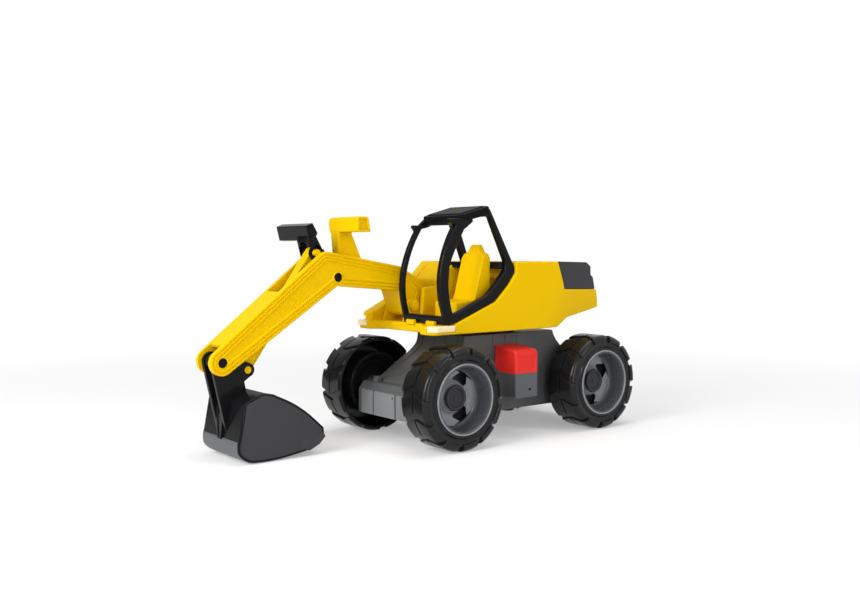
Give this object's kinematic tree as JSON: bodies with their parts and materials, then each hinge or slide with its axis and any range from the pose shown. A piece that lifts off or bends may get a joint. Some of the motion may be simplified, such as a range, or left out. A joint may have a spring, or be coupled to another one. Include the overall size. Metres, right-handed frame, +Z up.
{
  "type": "toy excavator",
  "caption": "Wheeled toy excavator: a turning upper body with an open cab, a goose-neck boom, and a bucket worked by a hand lever through a push rod.",
  "frame": {"origin": "on the ground, in the middle of the footprint of the whole machine at rest", "axes": "+Z up, -Y the way the machine faces, +X its left side"},
  "size_m": [0.288, 0.728, 0.3762],
  "materials": {
    "yellow": "bright yellow moulded plastic, satin gloss",
    "black": "black moulded plastic, glossy",
    "tyre": "hard hollow black plastic tyre, glossy",
    "dark_grey": "dark grey moulded plastic, satin",
    "charcoal": "charcoal moulded plastic, fine grain",
    "red": "red moulded plastic, satin gloss",
    "cream": "cream white moulded plastic, glossy",
    "steel": "plain steel rod and screws"
  },
  "bodies": {
    "undercarriage": {"chassis_body": "dark_grey", "chassis_floor": "dark_grey", "chassis_screw_1": "steel", "chassis_screw_2": "steel", "chassis_screw_3": "steel", "chassis_screw_4": "steel", "front_axle": "steel", "rear_axle": "steel", "axle_clip_front_left": "steel", "axle_clip_front_right": "steel", "axle_clip_rear_left": "steel", "axle_clip_rear_right": "steel", "side_bracket_left": "dark_grey", "side_bracket_right": "dark_grey", "toolbox_left": "red", "toolbox_right": "red", "slew_ring": "black"},
    "wheel_front_left": {"tyre_front_left": "tyre", "rim_front_left": "dark_grey", "hub_cap_front_left": "dark_grey"},
    "wheel_front_right": {"tyre_front_right": "tyre", "rim_front_right": "dark_grey", "hub_cap_front_right": "dark_grey"},
    "wheel_rear_left": {"tyre_rear_left": "tyre", "rim_rear_left": "dark_grey", "hub_cap_rear_left": "dark_grey"},
    "wheel_rear_right": {"tyre_rear_right": "tyre", "rim_rear_right": "dark_grey", "hub_cap_rear_right": "dark_grey"},
    "upper_body": {"deck": "yellow", "slew_retainer": "dark_grey", "slew_screw": "steel", "house_shell": "yellow", "engine_cover": "dark_grey", "cab_frame": "black", "cab_roof": "black", "seat": "yellow", "front_lamp_left": "cream", "front_lamp_right": "cream", "boom_pin": "black"},
    "boom_arm": {"boom": "yellow", "boom_grip": "yellow", "lever_pin": "black", "bucket_pin": "black"},
    "bucket_body": {"bucket": "charcoal"},
    "lever": {"control_lever": "black"},
    "rod": {"push_rod": "yellow"}
  },
  "joints": [
    {"name": "wheel_front_left_spin", "type": "hinge", "parent": "undercarriage", "child": "wheel_front_left", "pos_m": [0.114, -0.026, 0.08], "axis": [1, 0, 0], "continuous": true},
    {"name": "wheel_front_right_spin", "type": "hinge", "parent": "undercarriage", "child": "wheel_front_right", "pos_m": [-0.114, -0.026, 0.08], "axis": [1, 0, 0], "continuous": true},
    {"name": "wheel_rear_left_spin", "type": "hinge", "parent": "undercarriage", "child": "wheel_rear_left", "pos_m": [0.114, 0.284, 0.08], "axis": [1, 0, 0], "continuous": true},
    {"name": "wheel_rear_right_spin", "type": "hinge", "parent": "undercarriage", "child": "wheel_rear_right", "pos_m": [-0.114, 0.284, 0.08], "axis": [1, 0, 0], "continuous": true},
    {"name": "slew", "type": "hinge", "parent": "undercarriage", "child": "upper_body", "pos_m": [0, 0.129, 0.175], "axis": [0, 0, 1], "continuous": true},
    {"name": "boom_lift", "type": "hinge", "parent": "upper_body", "child": "boom_arm", "pos_m": [-0.042, -0.007, 0.214], "axis": [-1, 0, 0], "range_deg": [-8, 40]},
    {"name": "bucket_curl", "type": "hinge", "parent": "boom_arm", "child": "bucket_body", "pos_m": [-0.042, -0.345, 0.144], "axis": [1, 0, 0], "range_deg": [-44, 22]},
    {"name": "lever_swing", "type": "hinge", "parent": "boom_arm", "child": "lever", "pos_m": [-0.042, -0.149, 0.263], "axis": [1, 0, 0], "range_deg": [-21.5, 42.5]},
    {"name": "rod_swing", "type": "hinge", "parent": "bucket_body", "child": "rod", "pos_m": [-0.042, -0.301, 0.13], "axis": [1, 0, 0], "range_deg": [-22.5, 44.5]}
  ],
  "couplings": [
    {"joint": "lever_swing", "follows": "bucket_curl", "ratio": -0.95},
    {"joint": "rod_swing", "follows": "bucket_curl", "ratio": -1}
  ]
}
